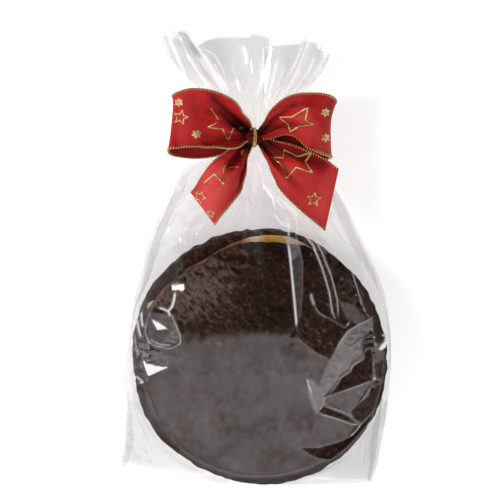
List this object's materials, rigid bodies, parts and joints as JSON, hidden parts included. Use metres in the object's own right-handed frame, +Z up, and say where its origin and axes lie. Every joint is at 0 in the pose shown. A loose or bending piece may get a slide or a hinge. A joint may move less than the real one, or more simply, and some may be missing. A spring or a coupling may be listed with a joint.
{
  "type": "wrapped lebkuchen",
  "caption": "Round chocolate-coated lebkuchen in a clear film bag, gathered at the neck and tied with a wired ribbon bow.",
  "frame": {"origin": "bottom centre of the whole's box, on the surface that the bag lies on", "axes": "+X to the right of the bag's front, +Y from the bag's bottom edge to its frill, +Z up out of its front"},
  "size_m": [0.1184, 0.204, 0.0447],
  "materials": {
    "film": "clear cellophane, glossy and creased",
    "ribbon": "red satin weave",
    "gold_cord": "gold thread and foil",
    "chocolate": "dark chocolate, satin and uneven",
    "wafer": "baked wafer, matt"
  },
  "bodies": {
    "root": {"film_bag": "film", "ribbon_bow": "ribbon", "gold_tie": "gold_cord"}
  },
  "joints": []
}
